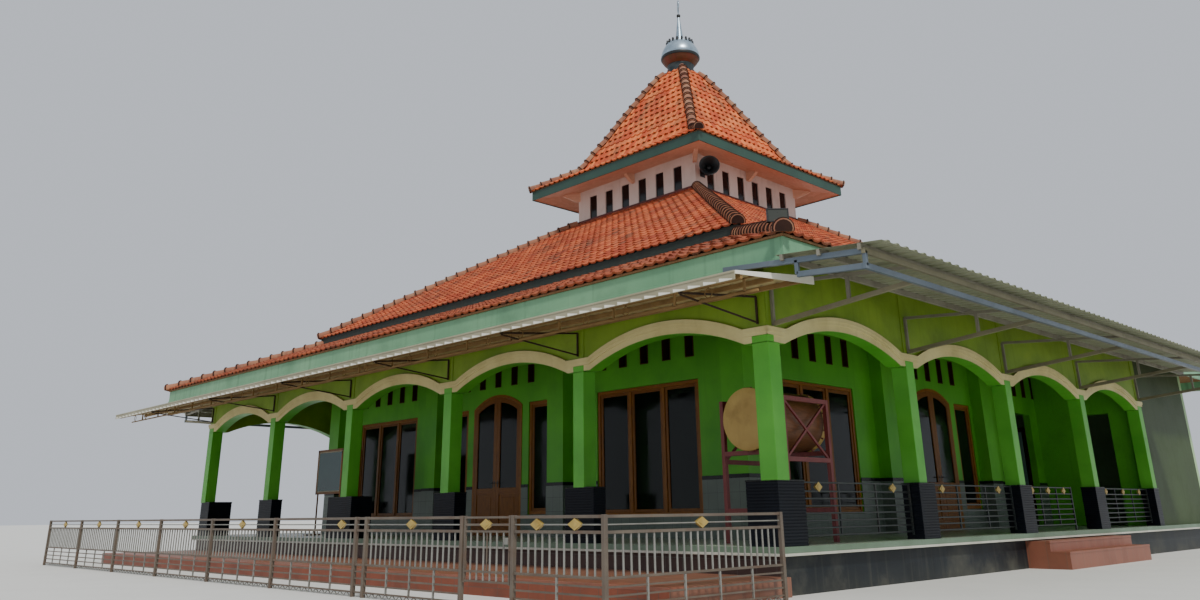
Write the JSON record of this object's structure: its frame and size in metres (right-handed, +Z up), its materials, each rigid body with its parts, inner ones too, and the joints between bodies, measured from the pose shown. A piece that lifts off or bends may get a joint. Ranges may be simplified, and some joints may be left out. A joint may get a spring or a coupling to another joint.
{
  "type": "village mosque",
  "caption": "Square prayer hall on a raised floor with arched verandas, a tiered tile roof with a lantern, sheet canopies, railings, opening doors and a street fence.",
  "frame": {"origin": "on the ground under the middle of the building's arcades", "axes": "+Z up, the front with the main door faces -Y, the side with the railings faces +X"},
  "size_m": [22.135, 21.8565, 15.3726],
  "materials": {
    "plinth_tile": "dark glazed wall tile, dusty",
    "slab_edge": "pale grey-green floor tile and painted edge",
    "terrace_tile": "matt red-brown floor tile",
    "green_plaster": "grass-green paint on smooth plaster",
    "pale_plaster": "pale green paint on smooth plaster",
    "roof_tile": "unglazed clay roof tile, weathered",
    "fascia_paint": "faded sea-green paint on boards",
    "lantern_paint": "pale pink-grey paint on boards",
    "soffit_paint": "salmon paint on boards",
    "bare_metal": "spun sheet metal, dull",
    "horn_metal": "dark grey paint",
    "dark_wood": "dark brown varnish",
    "door_wood": "golden brown varnish",
    "canopy_sheet": "ribbed roofing sheet, aged underside",
    "purlin_steel": "brown primer on steel",
    "light_steel": "pale blue-grey paint on steel",
    "grey_steel": "grey paint on steel tube",
    "gold_paint": "dull gold paint",
    "window_glass": "clear, slightly dusty",
    "drum_wood": "carved log with a varnished skin head",
    "stand_wood": "dark red paint, worn",
    "board_face": "printed sheet on a frame"
  },
  "bodies": {
    "root": {"plinth": "plinth_tile", "floor_slab": "slab_edge", "front_terrace": "terrace_tile", "side_steps": "terrace_tile", "front_arcade": "green_plaster", "right_arcade": "green_plaster", "left_arcade": "green_plaster", "front_wall_right": "green_plaster", "front_wall_left": "green_plaster", "front_wall_over_door": "green_plaster", "right_wall_front": "green_plaster", "right_wall_back": "green_plaster", "right_wall_over_door": "green_plaster", "left_wall": "green_plaster", "back_beam": "green_plaster", "right_end_wall": "pale_plaster", "left_end_wall": "pale_plaster", "back_wall": "pale_plaster", "front_door_frame": "dark_wood", "side_door_frame": "dark_wood", "front_right_windows": "dark_wood", "front_left_windows": "dark_wood", "right_front_windows": "dark_wood", "right_back_windows": "dark_wood", "left_windows": "dark_wood", "back_windows": "dark_wood", "lower_roof_front": "roof_tile", "lower_roof_right": "roof_tile", "lower_roof_back": "roof_tile", "lower_roof_left": "roof_tile", "mid_roof": "roof_tile", "upper_roof": "roof_tile", "lower_fascia": "fascia_paint", "lantern_walls": "lantern_paint", "upper_eaves": "soffit_paint", "finial": "bare_metal", "loudspeaker": "horn_metal", "floodlight": "horn_metal", "front_canopy_sheet": "canopy_sheet", "right_canopy_sheet": "canopy_sheet", "left_canopy_sheet": "canopy_sheet", "front_canopy_frame": "purlin_steel", "right_canopy_frame": "light_steel", "left_canopy_frame": "light_steel", "right_railing_1": "grey_steel", "right_railing_2": "grey_steel", "right_railing_3": "grey_steel", "right_railing_4": "grey_steel", "fence_front": "grey_steel", "fence_front_right": "grey_steel", "fence_return": "grey_steel", "drum": "drum_wood", "drum_stand": "stand_wood", "notice_board": "board_face", "poster_board": "board_face"},
    "front_left_door": {"front_door_leaf_left": "door_wood"},
    "front_right_door": {"front_door_leaf_right": "door_wood"},
    "side_front_door": {"side_door_leaf_front": "door_wood"},
    "side_back_door": {"side_door_leaf_back": "door_wood"},
    "gate": {"fence_gate": "grey_steel"}
  },
  "joints": [
    {"name": "front_left_door_hinge", "type": "hinge", "parent": "root", "child": "front_left_door", "pos_m": [-0.7525, -6.4173, 0.55], "axis": [0, 0, -1], "range_deg": [0, 90]},
    {"name": "front_right_door_hinge", "type": "hinge", "parent": "root", "child": "front_right_door", "pos_m": [0.7525, -6.4173, 0.55], "axis": [0, 0, 1], "range_deg": [0, 90]},
    {"name": "side_front_door_hinge", "type": "hinge", "parent": "root", "child": "side_front_door", "pos_m": [6.4173, -0.7525, 0.55], "axis": [0, 0, -1], "range_deg": [0, 90]},
    {"name": "side_back_door_hinge", "type": "hinge", "parent": "root", "child": "side_back_door", "pos_m": [6.4173, 0.7525, 0.55], "axis": [0, 0, 1], "range_deg": [0, 90]},
    {"name": "gate_hinge", "type": "hinge", "parent": "root", "child": "gate", "pos_m": [6.815, -12.0972, 0.27], "axis": [0, 0, 1], "range_deg": [0, 90]}
  ]
}
